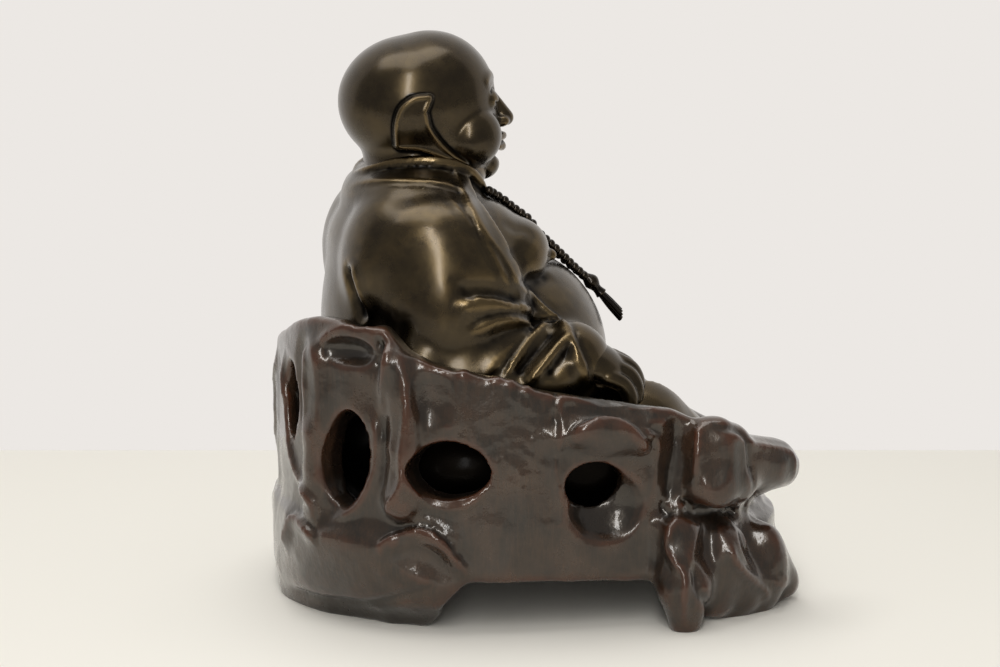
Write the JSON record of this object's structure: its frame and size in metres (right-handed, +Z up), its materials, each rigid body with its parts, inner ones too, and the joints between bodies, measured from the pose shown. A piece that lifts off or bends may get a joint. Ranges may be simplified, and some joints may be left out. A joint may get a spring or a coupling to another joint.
{
  "type": "bronze buddha statue",
  "caption": "Seated bronze buddha with an open robe, round belly and prayer beads, resting in a hollow carved root-wood stand with side holes and splayed feet.",
  "frame": {"origin": "on the ground, under the middle of the part's bounding box", "axes": "+Z up, -Y the way the figure faces, so its right hand is at -X"},
  "size_m": [0.2128, 0.231, 0.2492],
  "materials": {
    "bronze_figure": "cast bronze with a polished dark brown patina",
    "prayer_beads": "cast bronze with a near-black patina",
    "root_stand": "carved root wood under dark brown gloss lacquer"
  },
  "bodies": {
    "root": {"bronze_figure": "bronze_figure", "prayer_beads": "prayer_beads", "root_stand": "root_stand"}
  },
  "joints": []
}
